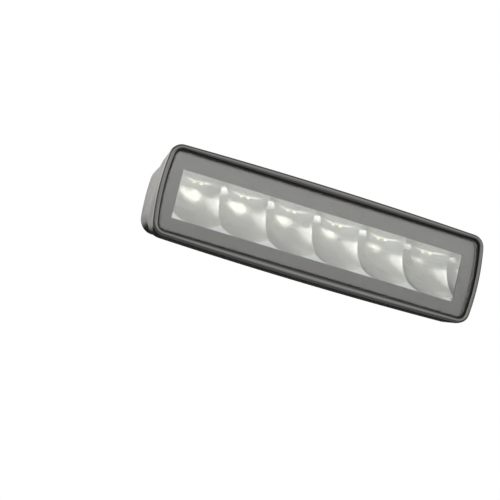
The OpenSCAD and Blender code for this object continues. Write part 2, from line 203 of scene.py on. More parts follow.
def joined(parts):
    """One list of points and faces from several closed solids."""
    points, faces = [], []
    for more_points, more_faces in parts:
        start = len(points)
        points += more_points
        faces += [tuple(start + i for i in face) for face in more_faces]
    return points, faces


def ring(section):
    """A closed ring round the front outline, from its section's (inset, y) points."""
    return bridge([[(x, y, z) for x, z in front_outline(inset)] for inset, y in section])


def slab(outline, y0, y1, edge):
    """A plate between two depths, with chamfers of size edge. outline(inset) gives its loop."""
    steps = [(edge, y0), (0, y0 + edge), (0, y1 - edge), (edge, y1)]
    return bridge([[(x, y, z) for x, z in outline(inset)] for inset, y in steps], closed=False, caps=True)


def along_x(outline, x0, x1):
    """A solid with a (y, z) outline, between two places along the bar."""
    return bridge([[(x, y, z) for y, z in outline] for x in (x0, x1)], closed=False, caps=True)


def along_y(outline, y0, y1):
    """A solid with an (x, z) outline, between two depths."""
    return bridge([[(x, y, z) for x, z in outline] for y in (y0, y1)], closed=False, caps=True)


def along_z(outline, z0, z1):
    """A solid with an (x, y) outline, between two heights."""
    return bridge([[(x, y, z) for x, y in outline] for z in (z0, z1)], closed=False, caps=True)


def box(x0, x1, y0, y1, z0, z1):
    return along_y([(x0, z0), (x1, z0), (x1, z1), (x0, z1)], y0, y1)


def sheet(front, back):
    """A closed solid between two faces, each given as rows of points with equal lengths."""
    rows = front + back[::-1]
    width, count = len(rows[0]), len(rows)
    faces = []
    for j in range(count):
        a, b = j * width, (j + 1) % count * width
        faces += [(a + i, a + i + 1, b + i + 1, b + i) for i in range(width - 1)]
    end = width - 1
    for j in range(len(front) - 1):
        a, b, c, d = (row * width for row in (j, j + 1, count - 2 - j, count - 1 - j))
        faces.append((a, b, c, d))
        faces.append((a + end, d + end, c + end, b + end))
    return [p for row in rows for p in row], faces


def lathe(section, centre, axis="y", sides=48, shape=None):
    """A turned solid from (distance along the axis, radius) points. shape changes a radius by its angle."""
    cx, cy, cz = centre
    loops = []
    for along, radius in section:
        loop = []
        for i in range(sides):
            angle = 2 * math.pi * i / sides
            r = shape(angle, radius) if shape else radius
            u, v = r * math.cos(angle), r * math.sin(angle)
            loop.append((cx + u, cy + along, cz + v) if axis == "y" else (cx + along, cy + u, cz + v))
        loops.append(loop)
    return bridge(loops, closed=False, caps=True)


def pipe(section, centre, axis="y", sides=48, shape=None):
    """Like lathe, for a closed section that doesn't reach the axis, such as a washer's."""
    points, faces = lathe(section + section[:1], centre, axis, sides, shape)
    return points, faces[:-2]


def cut(obj, cutters):
    """Takes solids away from obj, one group of solids at a time."""
    for points, faces in cutters:
        tool = finish_mesh("cutter", points, faces, None)
        modifier = obj.modifiers.new("cut", "BOOLEAN")
        modifier.solver = "MANIFOLD"
        modifier.object = tool
        apply_modifiers(obj)
        bpy.data.objects.remove(tool)
    obj.data.shade_smooth()
    obj.data.set_sharp_from_angle(angle=math.radians(32))


def apply_modifiers(obj):
    """Replaces the object's mesh with the one its modifiers make."""
    bpy.context.view_layer.update()
    evaluated = obj.evaluated_get(bpy.context.evaluated_depsgraph_get())
    mesh = bpy.data.meshes.new_from_object(evaluated)
    obj.modifiers.clear()
    obj.data = mesh


# ---------------------------------------------------------------- materials
class Material:
    """A principled material with small helpers for its textures."""

    def __init__(self, name, **values):
        self.material = bpy.data.materials.new(name)
        self.material.use_nodes = True
        self.tree = self.material.node_tree
        self.shader = self.tree.nodes["Principled BSDF"]
        self.place = self.add("ShaderNodeTexCoord").outputs["Object"]
        for key, value in values.items():
            self.shader.inputs[key.replace("_", " ")].default_value = value

    def add(self, kind, inputs=None, **settings):
        """A new node, with its inputs given as numbers or as the sockets they are linked to."""
        node = self.tree.nodes.new(kind)
        for key, value in settings.items():
            setattr(node, key, value)
        for key, value in (inputs or {}).items():
            if isinstance(value, bpy.types.NodeSocket):
                self.tree.links.new(value, node.inputs[key])
            else:
                node.inputs[key].default_value = value
        return node

    def noise(self, scale, detail=3.0, roughness=0.5):
        """Noise with about this many features in a metre."""
        return self.add(
            "ShaderNodeTexNoise",
            {"Vector": self.place, "Scale": scale, "Detail": detail, "Roughness": roughness},
        ).outputs["Fac"]

    def ramp(self, value, low, high, start=0.3, end=0.7):
        """Maps a 0 to 1 value to a range, or to a blend of two colours."""
        if isinstance(low, tuple):
            fac = self.add(
                "ShaderNodeMapRange", {"Value": value, "From Min": start, "From Max": end}
            ).outputs[0]
            mix = self.add("ShaderNodeMix", {"Factor": fac}, data_type="RGBA")
            mix.inputs[6].default_value = (*low, 1)
            mix.inputs[7].default_value = (*high, 1)
            return mix.outputs[2]
        return self.add(
            "ShaderNodeMapRange",
            {"Value": value, "From Min": start, "From Max": end, "To Min": low, "To Max": high},
        ).outputs[0]

    def link(self, value, name):
        self.tree.links.new(value, self.shader.inputs[name])

    def bump(self, value, depth_mm, strength, edge_mm=0.0):
        """Raises the surface by a texture, over edges softened to a radius."""
        inputs = {"Height": value, "Distance": depth_mm * MM, "Strength": strength}
        if edge_mm:
            inputs["Normal"] = self.add(
                "ShaderNodeBevel", {"Radius": edge_mm * MM}, samples=4
            ).outputs[0]
        self.link(self.add("ShaderNodeBump", inputs).outputs[0], "Normal")


def powder_coat(name, dark, light, rough, grain, depth, edge=0.5, gloss=0.5):
    """Satin coating on metal: fine orange peel and slow patches of colour and gloss."""
    m = Material(name)
    m.shader.inputs["Specular IOR Level"].default_value = gloss
    patches = m.noise(26, 4)
    m.link(m.ramp(patches, dark, light), "Base Color")
    m.link(m.ramp(m.noise(90, 5, 0.6), *rough), "Roughness")
    m.bump(m.noise(grain, 2), depth, 0.6, edge)
    return m.material


def plain_metal(name, dark, light, rough=(0.22, 0.4), scale=900, depth=0.006, edge=0.2):
    """Bare or plated metal with fine machining marks."""
    m = Material(name, Metallic=1.0)
    marks = m.noise(scale, 4, 0.6)
    m.link(m.ramp(m.noise(140, 4), dark, light), "Base Color")
    m.link(m.ramp(marks, *rough), "Roughness")
    m.bump(marks, depth, 0.5, edge)
    return m.material


def moulded(name, dark, light, rough=(0.35, 0.55), scale=1200, depth=0.01, edge=0.3):
    """Moulded plastic, rubber or ceramic with a fine skin."""
    m = Material(name)
    m.link(m.ramp(m.noise(70, 4), dark, light), "Base Color")
    m.link(m.ramp(m.noise(260, 3), *rough), "Roughness")
    m.bump(m.noise(scale, 3), depth, 0.5, edge)
    return m.material


def circuit_board(name, base, trace, scale, painted_glow=0.0):
    """Solder mask with copper areas showing through as patches of another shade. Its emission is a painted glow:
    the board gives off a faint light of its own, though it is no lamp.
    """
    m = Material(name, Roughness=0.3, Emission_Color=(1.0, 0.97, 0.9, 1.0), Emission_Strength=painted_glow)
    cells = m.add(
        "ShaderNodeTexVoronoi",
        {"Vector": m.place, "Scale": scale, "Randomness": 1.0},
        distance="MANHATTAN",
        feature="F1",
    ).outputs["Distance"]
    m.link(m.ramp(cells, base, trace, 0.28, 0.34), "Base Color")
    m.link(m.ramp(m.noise(300), 0.25, 0.4), "Roughness")
    m.bump(cells, 0.03, 0.4, 0.1)
    return m.material


def lens_clear():
    """Clear hard-coated plastic: see-through, with a mirror image that grows towards grazing angles."""
    m = Material("lens_clear")
    tree = m.tree
    tree.nodes.remove(m.shader)
    smears = m.noise(18, 5, 0.6)
    rough = m.ramp(smears, 0.02, 0.06)
    gloss = m.add("ShaderNodeBsdfGlossy", {"Color": (1, 1, 1, 1), "Roughness": rough})
    clear = m.add("ShaderNodeBsdfTransparent", {"Color": (0.965, 0.975, 0.975, 1)})
    facing = m.add("ShaderNodeLayerWeight", {"Blend": 0.5}).outputs["Facing"]
    grazing = m.add("ShaderNodeMath", {0: facing, 1: 5.0}, operation="POWER").outputs[0]
    mirror = m.ramp(grazing, 0.04, 1.0, 0.0, 1.0)
    mix = m.add("ShaderNodeMixShader", {0: mirror})
    tree.links.new(clear.outputs[0], mix.inputs[1])
    tree.links.new(gloss.outputs[0], mix.inputs[2])
    out = next(n for n in tree.nodes if n.type == "OUTPUT_MATERIAL")
    tree.links.new(mix.outputs[0], out.inputs["Surface"])
    return m.material


def mirror_coat(name, dark, light, rough, metallic=1.0, ripple=0.05):
    """Vacuum-metallised plastic: a mirror with faint moulding ripples and a little haze."""
    m = Material(name, Metallic=metallic)
    m.link(m.ramp(m.noise(45, 4), dark, light), "Base Color")
    m.link(m.ramp(m.noise(220, 4), *rough), "Roughness")
    m.bump(m.noise(150, 2), ripple, 0.5)
    return m.material


def phosphor():
    """Yellow phosphor under clear silicone."""
    m = Material("phosphor_yellow", Roughness=0.35, Coat_Weight=0.6)
    m.link(m.ramp(m.noise(2500, 3), (0.95, 0.62, 0.05), (1.0, 0.8, 0.18)), "Base Color")
    m.bump(m.noise(2500), 0.01, 0.3)
    return m.material


def mask_print():
    """Black screen print on the back of the lens, with the fine grain of the ink."""
    m = Material("mask_ink")
    m.link(m.ramp(m.noise(700, 3), (0.006, 0.006, 0.006), (0.011, 0.011, 0.011)), "Base Color")
    m.link(m.ramp(m.noise(120, 3), 0.3, 0.45), "Roughness")
    return m.material


FINISHES = {
    "powder_coat": powder_coat(
        "coat_black", (0.012, 0.012, 0.0125), (0.018, 0.0175, 0.017), (0.24, 0.34), 1500, 0.012
    ),
    "frame_black": powder_coat(
        "frame_black", (0.008, 0.008, 0.0085), (0.013, 0.013, 0.0128), (0.1, 0.16), 1100, 0.004, 0.12, 1.0
    ),
    "bracket_coat": powder_coat(
        "bracket_black", (0.012, 0.012, 0.012), (0.02, 0.02, 0.02), (0.45, 0.6), 1000, 0.05
    ),
    "clear_lens": lens_clear(),
    "mask_print": mask_print(),
    "rubber_black": moulded("rubber_black", (0.008, 0.008, 0.008), (0.014, 0.014, 0.014), (0.55, 0.75)),
    "reflector_metal": mirror_coat(
        "reflector_mirror", (0.78, 0.785, 0.78), (0.88, 0.88, 0.87), (0.09, 0.18)
    ),
    "steel_zinc": plain_metal("zinc_steel", (0.5, 0.51, 0.52), (0.66, 0.66, 0.65)),
    "black_oxide": plain_metal("oxide_steel", (0.03, 0.03, 0.034), (0.06, 0.06, 0.062), (0.3, 0.45)),
    # the white board's emission of 0.9 is a painted glow; the board is no lamp
    "board_white": circuit_board("board_white", (0.8, 0.8, 0.77), (0.7, 0.7, 0.66), 160, 0.9),
    "board_green": circuit_board("board_green", (0.01, 0.09, 0.035), (0.03, 0.17, 0.07), 220),
    "ceramic_white": moulded("ceramic_white", (0.8, 0.8, 0.76), (0.88, 0.88, 0.85), (0.3, 0.5)),
    "phosphor": phosphor(),
    "thermal_grey": moulded("thermal_pad", (0.28, 0.3, 0.31), (0.36, 0.38, 0.4), (0.6, 0.8)),
    "plastic_white": moulded("plastic_cream", (0.7, 0.68, 0.6), (0.8, 0.78, 0.7)),
    "plastic_black": moulded("plastic_black", (0.012, 0.012, 0.013), (0.02, 0.02, 0.02)),
    "wire_red": moulded("wire_red", (0.45, 0.02, 0.02), (0.6, 0.04, 0.03)),
    "membrane_white": moulded(
        "membrane_white", (0.8, 0.8, 0.8), (0.9, 0.9, 0.9), (0.7, 0.9), 3000, 0.03
    ),
}
REFLECTOR_SATIN = mirror_coat(
    "reflector_satin", (0.86, 0.86, 0.84), (0.92, 0.92, 0.9), (0.16, 0.26), 0.75, 0.02
)


# ---------------------------------------------------------------- camera
AIM = head(-43.8, 0, -22.4)
AZIMUTH, ELEVATION, ROLL = math.radians(-15.7), math.radians(-10.82), math.radians(13.59)
DISTANCE = 1.1728
LENS_LENGTH, SENSOR_WIDTH = 136.2, 36


def make_camera():
    """A long lens that sees the lamp from below and from its left, turned about its line of sight."""
    back = Vector(
        (
            math.sin(AZIMUTH) * math.cos(ELEVATION),
            -math.cos(AZIMUTH) * math.cos(ELEVATION),
            math.sin(ELEVATION),
        )
    )
    level = Vector((0, 0, 1)).cross(back).normalized()
    upright = back.cross(level)
    right = level * math.cos(ROLL) + upright * math.sin(ROLL)
    up = back.cross(right)
    camera = bpy.data.objects.new("camera", bpy.data.cameras.new("camera"))
    camera.data.lens = LENS_LENGTH
    camera.data.sensor_width = SENSOR_WIDTH
    camera.data.clip_start = 0.01
    turn = Matrix((right, up, back)).transposed().to_4x4()
    camera.matrix_world = Matrix.Translation(AIM + back * DISTANCE) @ turn
    bpy.context.scene.collection.objects.link(camera)
    bpy.context.scene.camera = camera


make_camera()


# ---------------------------------------------------------------- front: frame, lens, printed border, seal
def make_bezel():
    """A slim frame with a round outer edge, a flat face and a broken inner edge."""
    rounding = arc(BEZEL_ROUND, BEZEL_FRONT + BEZEL_ROUND, BEZEL_ROUND, math.pi, 1.5 * math.pi, 8)
    outer = [(max(inset, SLIT), y) for inset, y in rounding]
    inner = [
        (BEZEL_INSET - 0.35, BEZEL_FRONT),
        (BEZEL_INSET - 0.1, BEZEL_FRONT + 0.1),
        (BEZEL_INSET, BEZEL_FRONT + 0.4),
        (BEZEL_INSET, BEZEL_BACK),
    ]
    back = [(0.35, BEZEL_BACK), (SLIT, BEZEL_BACK - 0.3)]
    finish_mesh("bezel_frame", *ring(outer + inner + back), "frame_black", stands_for=["front_bezel"])


def make_lens():
    """The clear pane, with broken edges."""
    pane = slab(lambda inset: front_outline(LENS_INSET + LENS_GAP + inset), 0, LENS_T, LENS_EDGE)
    finish_mesh("lens_pane", *pane, "clear_lens", stands_for=["lens"])


def make_mask():
    """The printed border: a thin sheet behind the lens with a sharp-cornered window."""
    outline = front_outline(LENS_INSET + MASK_GAP)
    border = along_y(outline, LENS_T + MASK_GAP, LENS_T + MASK_GAP + MASK_T)
    mask = finish_mesh("mask_border", *border, "mask_print", angle=20, stands_for=["lens_mask"])
    cut(mask, [box(-WINDOW_HALF, WINDOW_HALF, 0, 2 * LENS_T, WINDOW_BOTTOM, WINDOW_TOP)])


def make_gasket():
    """The seal: a bead that fills the step between the frame and the lens."""
    outer, inner = BEZEL_INSET + SLIT, LENS_INSET
    front = [(outer, GASKET_FRONT), (inner - SLIT, GASKET_FRONT + 0.2)]
    section = front + [(inner, GASKET_BACK), (outer, GASKET_BACK)]
    finish_mesh("seal_bead", *ring(section), "rubber_black", stands_for=["lens_gasket"])


make_bezel()
make_lens()
make_mask()
make_gasket()


# ---------------------------------------------------------------- reflector, in mm
CELLS = 6
PITCH = 32.1
HALF_ROW = CELLS * PITCH / 2
FOCAL = 8.2
FOCUS_Y = 25.4
FOCUS_Z = 13.8
BASIN_Z = -16.6
REFLECTOR_FRONT = 4.4
LAND_SLOPE = 0.3
CREST_SOFT = 0.1
BOWL_WALL = 1.0
BOWL_LAP = 0.9
BOWL_COLUMNS, BOWL_ROWS = 540, 90
CEILING_Z = 14.2
CEILING_T = 1.1
CEILING_LIP_Y = 10.3
CEILING_LIP_RISE = 1.15
CEILING_LAP = 0.3
CEILING_STEPS = 16 * CELLS
LED_HOLE_R = 3.5
END_WALL_T = 1.2
END_WALL_STEPS = 20
FLANGE_FRONT, FLANGE_REAR = 6.6, 8.0
FLANGE_HALF_LEN = 102.5
FLANGE_HALF_H = 21
SILL_T = 1.2


def soft_max(values, softness):
    """The largest value, with a smooth change where two are nearly equal."""
    top = max(values)
    return top + softness * math.log(sum(math.exp((v - top) / softness) for v in values))


def cell_x(cell):
    return (cell - (CELLS - 1) / 2) * PITCH


def bowl_depth(x, z):
    """Depth of the row of parabolic bowls, which meet in slightly rounded crests over a sloping land."""
    near = min(max(round(x / PITCH + (CELLS - 1) / 2), 0), CELLS - 1)
    depths = [REFLECTOR_FRONT + LAND_SLOPE * (z - BASIN_Z)]
    for cell in range(max(near - 1, 0), min(near + 2, CELLS)):
        r2 = (x - cell_x(cell)) ** 2 + (z - FOCUS_Z) ** 2
        depths.append(FOCUS_Y + FOCAL - r2 / (4 * FOCAL))
    return soft_max(depths, CREST_SOFT)


def make_bowls():
    """The six bowls as one sheet, whose top edge goes into the ceiling."""
    height = CEILING_Z + BOWL_LAP - BASIN_Z
    xs = [HALF_ROW * (2 * i / BOWL_COLUMNS - 1) for i in range(BOWL_COLUMNS + 1)]
    zs = [BASIN_Z + height * j / BOWL_ROWS for j in range(BOWL_ROWS + 1)]
    front = [[(x, bowl_depth(x, z), z) for x in xs] for z in zs]
    back = [[(x, y + BOWL_WALL, z) for x, y, z in row] for row in front]
    bowls = sheet(front, back)
    finish_mesh("reflector_bowls", *bowls, "reflector_metal", angle=60, stands_for=["reflector"])


def make_ceiling():
    """The shelf over the bowls, with a hole under each light source and a raised lip at its front."""
    xs = [HALF_ROW * (1 - 2 * i / CEILING_STEPS) for i in range(CEILING_STEPS + 1)]
    lip = [(x, REFLECTOR_FRONT, CEILING_Z + CEILING_LIP_RISE) for x in xs]
    bend = [(x, CEILING_LIP_Y, CEILING_Z) for x in xs]
    rear = [(x, bowl_depth(x, CEILING_Z) + CEILING_LAP, CEILING_Z) for x in xs]
    low = [lip, bend, rear]
    high = [[(x, y, z + CEILING_T) for x, y, z in line] for line in low]
    ceiling = finish_mesh("reflector_ceiling", *sheet(low, high), "reflector_metal")
    ceiling.data.materials[0] = REFLECTOR_SATIN
    holes = []
    for cell in range(CELLS):
        outline = arc(cell_x(cell), FOCUS_Y, LED_HOLE_R, 0, 2 * math.pi, 40)[:-1]
        holes.append(along_z(outline, CEILING_Z - CEILING_T, CEILING_Z + 2 * CEILING_T))
    cut(ceiling, [joined(holes)])


def make_reflector_ends():
    """The walls that close the row of bowls at its ends."""
    top = CEILING_Z + CEILING_T
    section = [(REFLECTOR_FRONT, BASIN_Z), (REFLECTOR_FRONT, top)]
    for i in range(END_WALL_STEPS + 1):
        z = top - (top - BASIN_Z) * i / END_WALL_STEPS
        section.append((bowl_depth(HALF_ROW, z) + BOWL_WALL, z))
    for name, side in (("left", -1), ("right", 1)):
        wall = along_x(section, side * HALF_ROW, side * (HALF_ROW + END_WALL_T))
        finish_mesh(f"reflector_end_{name}", *wall, "reflector_metal")


def make_flange():
    """The flange that the reflector is screwed down by, and the sill under the bowls."""
    edge = HALF_ROW + 1.1
    inner = FLANGE_HALF_LEN - 1.5
    front, rear = FLANGE_FRONT, FLANGE_REAR
    flange = joined([
        box(-inner, inner, front, rear, CEILING_Z + 2.4, FLANGE_HALF_H),
        box(-inner, inner, front, rear, -FLANGE_HALF_H, BASIN_Z - 0.9),
        box(-FLANGE_HALF_LEN, -edge, front, rear, -FLANGE_HALF_H, FLANGE_HALF_H),
        box(edge, FLANGE_HALF_LEN, front, rear, -FLANGE_HALF_H, FLANGE_HALF_H),
        box(-edge, edge, REFLECTOR_FRONT, front, BASIN_Z - SILL_T, BASIN_Z),
    ])
    finish_mesh("reflector_flange", *flange, "reflector_metal")


# ---------------------------------------------------------------- light sources, in mm
LED_SECTION = ((1.6, 14.92), (1.72, 15.05), (1.72, 15.8), (1.62, 15.9))
DOME_Z = 14.95
DOME_R = 1.4
DOME_DROP = 0.55


def led_body(x):
    """A square package. Its section is given as half widths at heights."""
    loops = []
    for half, z in LED_SECTION:
        corners = ((-half, -half), (half, -half), (half, half), (-half, half))
        loops.append([(x + u, FOCUS_Y + v, z) for u, v in corners])
    return bridge(loops, closed=False, caps=True)


def led_dome(x):
    """A round shallow dome that faces down."""
    loops = []
    for width, drop in arc(0, 0, 1, 0, math.pi / 2, 6):
        rim = arc(x, FOCUS_Y, DOME_R * width + 0.02, 0, 2 * math.pi, 32)[:-1]
        loops.append([(px, py, DOME_Z - DOME_DROP * drop) for px, py in rim])
    return bridge(loops, closed=False, caps=True)


def make_leds():
    """White packages with yellow phosphor, facing down into the bowls."""
    places = [cell_x(cell) for cell in range(CELLS)]
    bodies = joined([led_body(x) for x in places])
    domes = joined([led_dome(x) for x in places])
    finish_mesh("led_bodies", *bodies, "ceramic_white", stands_for=["led_packages"])
    finish_mesh("led_domes", *domes, "phosphor", stands_for=["led_phosphors"])


make_bowls()
make_ceiling()
make_reflector_ends()
make_flange()
make_leds()


# ---------------------------------------------------------------- housing, in mm
RIM_Y = 4.2
END_FRONT = 109.25
END_DRAFT = math.tan(math.radians(4))
BACK_R = 54.0
BACK_CZ = 1.0
BACK_REACH = math.radians(20)
BACK_EDGE_Y = 46.0
BACK_EDGE_R = 4.5
EDGE_FRONT = 6.6
EDGE_REAR = 9.0
EDGE_GROWTH = 14.0
BAND_FADE_START = 19.0
BAND_FADE_END = 23.0
BOW_FADE = 8
LOOP_STEP = 3
LOOP_GAP = 0.12
# corners of the top and bottom outlines, as (y, z, radius)
TOP_CORNERS = [(RIM_Y, 29.15, 0), (19.7, 27.9, 4), (24.4, 24.2, 6), (29, 23.7, 8), (50.2, 22.6, 3.2)]
LOW_CORNERS = [(RIM_Y, -29.15, 0), (19.5, -27.9, 3), (24.2, -23.5, 5), (30, -22.4, 8), (49.4, -21.5, 4.4)]
# the room for the boards, as (y, z), with steps for the reflector's flange
CAVITY = [(3, -22.6), (20, -22.6), (25, -18.8), (39.5, -18.8), (39.5, 18.3), (13.4, 18.3),
          (12.4, 22.6), (3, 22.6)]
CAVITY_HALF_LEN = 103
COLLAR = [(1.25, 2.25), (2.1, 2.25), (2.1, 5.0), (1.25, 5.0)]
FIN_SLOTS = 21
FIN_SPAN = 160
FIN_ROOT_Y = 42.6
FIN_LOW, FIN_HIGH = -16.5, 17.5
SLOT_ROOT, SLOT_MOUTH = 2.45, 2.85
LUG_INNER, LUG_OUTER = 84.3, 92.2
LUG_R = 7
LUG_EDGE = 0.5
LUG_ARC = math.radians(-70), math.radians(82)
LUG_ROOT_Y = 44
LUG_ABOVE, LUG_BELOW = 8, 14
PIVOT_ROOM_R, PIVOT_ROOM_END = 12, 103.2
# pockets and bosses on the back, as (y, radius)
GLAND_POCKET = [(FIN_ROOT_Y, 13), (57, 13.4)]
VENT_POCKET = [(FIN_ROOT_Y, 9), (57, 9.3)]
GLAND_BOSS = [(40, 9.5), (44.0, 9.5), (44.5, 9.0)]
VENT_BOSS = [(40, 6.5), (43.1, 6.5), (43.4, 6.2)]


def side_lines():
    """The housing's top and bottom outlines, as (y, z) points from the rim to the middle of its back."""
    back = arc(0, BACK_CZ, BACK_R, BACK_REACH, 0, 14)
    upper = filleted(TOP_CORNERS + [(y, z, 0) for y, z in back], 7)
    lower = filleted(LOW_CORNERS + [(y, 2 * BACK_CZ - z, 0) for y, z in back], 7)
    return upper, lower


def level(line, y):
    """Height of an outline at a depth."""
    for (y0, z0), (y1, z1) in zip(line, line[1:]):
        if y <= y1:
            return z0 + (z1 - z0) * (y - y0) / max(y1 - y0, 1e-9)
    return line[-1][1]


def band_weight(y):
    """1 on the band behind the front frame, which has the crown, and 0 on the round back."""
    return min(max((BAND_FADE_END - y) / (BAND_FADE_END - BAND_FADE_START), 0), 1)


def edge_radius(y):
    """Radius of the rounding between the end walls and the sides, which grows towards the rear."""
    return EDGE_FRONT + (EDGE_REAR - EDGE_FRONT) * min(max((y - RIM_Y) / EDGE_GROWTH, 0), 1)


def end_length(y):
    """Half length of the housing at a depth: drafted, and rounded into the back."""
    over = min(max((y - BACK_EDGE_Y) / (BACK_R - BACK_EDGE_Y), 0), 1)
    return END_FRONT - END_DRAFT * (y - RIM_Y) - BACK_EDGE_R * (1 - math.sqrt(1 - over * over))


def round_box(length, half, r):
    """An (x, z) outline with rounded corners, from its half length and half height."""
    side = [(length, (half - r) * i / 8) for i in range(8)]
    quarter = side + arc(length - r, half - r, r, 0, math.pi / 2, 9)
    top = [((length - r) * (1 - i / 12), half) for i in range(1, 24)]
    loop = quarter + top + [(-x, z) for x, z in reversed(quarter)]
    return loop + [(x, -z) for x, z in reversed(loop[1:-1])]


def housing_loop(y, high, low):
    """Outline of the housing at one depth, with the long edges crowned and the ends bowed."""
    length, middle = end_length(y), (high + low) / 2
    half = max((high - low) / 2, 0.02)
    points = []
    for x, z in round_box(length, half, min(edge_radius(y), half * 0.98)):
        height = z + middle + math.copysign(crown(x) * band_weight(y), z) * (abs(z) > half - 0.01)
        bow = BOW_R - math.sqrt(BOW_R**2 - height**2)
        points.append((x - math.copysign(bow, x) * min(abs(x) / length, 1) ** BOW_FADE, y, height))
    return points


def housing_block():
    """The solid casting, as outlines from the rim to the back."""
    upper, lower = side_lines()
    corners = {round(y, 2) for y, z in upper + lower}
    between = {RIM_Y + i for i in range(1, int(BACK_EDGE_Y), LOOP_STEP)}
    depths = sorted(corners | between)
    kept = [depths[0]]
    for y in depths[1:]:
        if y - kept[-1] > LOOP_GAP and y < BACK_R - 0.01:
            kept.append(y)
    loops = [housing_loop(y, level(upper, y), level(lower, y)) for y in kept]
    return bridge(loops, closed=False, caps=True)


def fin_slots():
    """The slots between the cooling fins, which widen a little towards their mouths."""
    slots = []
    for i in range(FIN_SLOTS):
        x = (i - (FIN_SLOTS - 1) / 2) * (FIN_SPAN / FIN_SLOTS)
        root = [(x - SLOT_ROOT, FIN_ROOT_Y), (x + SLOT_ROOT, FIN_ROOT_Y)]
        mouth = [(x + SLOT_MOUTH, BACK_R + 2), (x - SLOT_MOUTH, BACK_R + 2)]
        slots.append(along_z(root + mouth, FIN_LOW, FIN_HIGH))
    return joined(slots)


def round_pockets():
    """Room in the fins for the gland and the vent, and in the ends for the pivots."""
    rooms = []
    for start, end in ((LUG_OUTER, PIVOT_ROOM_END), (-PIVOT_ROOM_END, -LUG_OUTER)):
        rooms.append(lathe([(start, PIVOT_ROOM_R), (end, PIVOT_ROOM_R)], PIVOT_LINE, "x", 64))
    return [lathe(GLAND_POCKET, GLAND, sides=64), lathe(VENT_POCKET, VENT), joined(rooms)]


def pivot_lug(side):
    """A lug with broken edges on one end of the back, which the pivot screw goes into."""
    inner, outer = sorted((side * LUG_INNER, side * LUG_OUTER))
    loops = []
    for inset, x in ((LUG_EDGE, inner), (0, inner + LUG_EDGE), (0, outer - LUG_EDGE), (LUG_EDGE, outer)):
        loop = arc(PIVOT_Y, PIVOT_Z, LUG_R - inset, *LUG_ARC, 22)
        loop.append((LUG_ROOT_Y + inset, PIVOT_Z + LUG_ABOVE - inset))
        loop.append((LUG_ROOT_Y + inset, PIVOT_Z - LUG_BELOW + inset))
        loops.append([(x, y, z) for y, z in loop])
    return bridge(loops, closed=False, caps=True)


def make_housing():
    """The casting, then the collar inside the frame, the bosses of gland and vent, and the pivot lugs."""
    body = finish_mesh("housing_casting", *housing_block(), "powder_coat", stands_for=["housing"])
    cavity = along_x(CAVITY, -CAVITY_HALF_LEN, CAVITY_HALF_LEN)
    cut(body, [cavity, fin_slots()] + round_pockets())
    bosses = [lathe(GLAND_BOSS, GLAND), lathe(VENT_BOSS, VENT)]
    extras = [ring(COLLAR)] + bosses + [pivot_lug(-1), pivot_lug(1)]
    finish_mesh("housing_lugs", *joined(extras), "powder_coat")


make_housing()


# ---------------------------------------------------------------- bracket, in mm
BACK_Y = -FACE_Y / MM
STRAP_HALF_W = 10.0
STRAP_T = 3.0
STRAP_EDGE = 0.45
STRAP_STEP = 1.5
STRAP_TIP = 0.6
STRAP_BORE = 2.6
EAR_X = 94.0
EAR_BEND_Y = 69.3
EAR_BEND_R = 7
FLAT_HALF = 59.8
FLAT_BEND_R = 16


def strap_path():
    """The middle of the strap's thickness seen from above, as (x, y) points from ear to ear."""
    flat_y = BACK_Y - STRAP_T / 2
    ear = [(EAR_X, PIVOT_Y - STRAP_HALF_W, 0), (EAR_X, EAR_BEND_Y, EAR_BEND_R)]
    line = filleted(ear + [(FLAT_HALF, flat_y, FLAT_BEND_R), (0, flat_y, 0)], 8)
    path = []
    for (x0, y0), (x1, y1) in zip(line, line[1:]):
        pieces = max(1, int(math.dist((x0, y0), (x1, y1)) / STRAP_STEP))
        path += [(x0 + (x1 - x0) * i / pieces, y0 + (y1 - y0) * i / pieces) for i in range(pieces)]
    return path + [line[-1]] + [(-x, y) for x, y in reversed(path)]


def strap_section(half_w):
    """The strap's section with broken edges, as (offset, height) points."""
    t, edge = STRAP_T / 2, STRAP_EDGE
    right = [(t - edge, -half_w), (t, -half_w + edge), (t, half_w - edge), (t - edge, half_w)]
    return [(-t + edge, -half_w)] + right + [(-t + edge, half_w), (-t, half_w - edge), (-t, -half_w + edge)]


def strap_solid():
    """The strap along its path. Its ends are round about the pivots."""
    path = strap_path()
    loops = []
    for before, (x, y), after in zip(path[:1] + path, path, path[1:] + path[-1:]):
        along = Vector((after[0] - before[0], after[1] - before[1])).normalized()
        side = Vector((-along.y, along.x))
        ahead = max(PIVOT_Y - y, 0)
        half_w = max(math.sqrt(max(STRAP_HALF_W**2 - ahead**2, 0)), STRAP_TIP)
        section = strap_section(half_w)
        loops.append([(x + side.x * s, y + side.y * s, PIVOT_Z + w) for s, w in section])
    return bridge(loops, closed=False, caps=True)


def bolt_slot(side):
    """The cutter of one bolt slot, from the record's mount."""
    x, r = side * SLOTS["spacing_x_mm"] / 2, SLOTS["hole_r_mm"]
    reach = SLOTS["slot_length_mm"] / 2 - r
    loop = arc(x + reach, PIVOT_Z, r, -math.pi / 2, math.pi / 2, 14)
    loop += arc(x - reach, PIVOT_Z, r, math.pi / 2, 1.5 * math.pi, 14)
    return along_y(loop, BACK_Y - 3 * STRAP_T, BACK_Y + 3 * STRAP_T)


def make_bracket():
    """Steel strap bent to a flat middle and two ears, with two slots and the pivot bores."""
    body = "mounting_bracket"
    strap = finish_mesh("bracket_strap", *strap_solid(), "bracket_coat", body, stands_for=["bracket"])
    bore = lathe([(-120, STRAP_BORE), (120, STRAP_BORE)], PIVOT_LINE, "x", 40)
    cut(strap, [joined([bolt_slot(-1), bolt_slot(1)]), bore])


make_bracket()


# ---------------------------------------------------------------- pivot screws and washers, in mm
HEAD_IN, HEAD_OUT = 96.5, 101.5
HEAD_R = 4.16
SHANK_R = 2.48
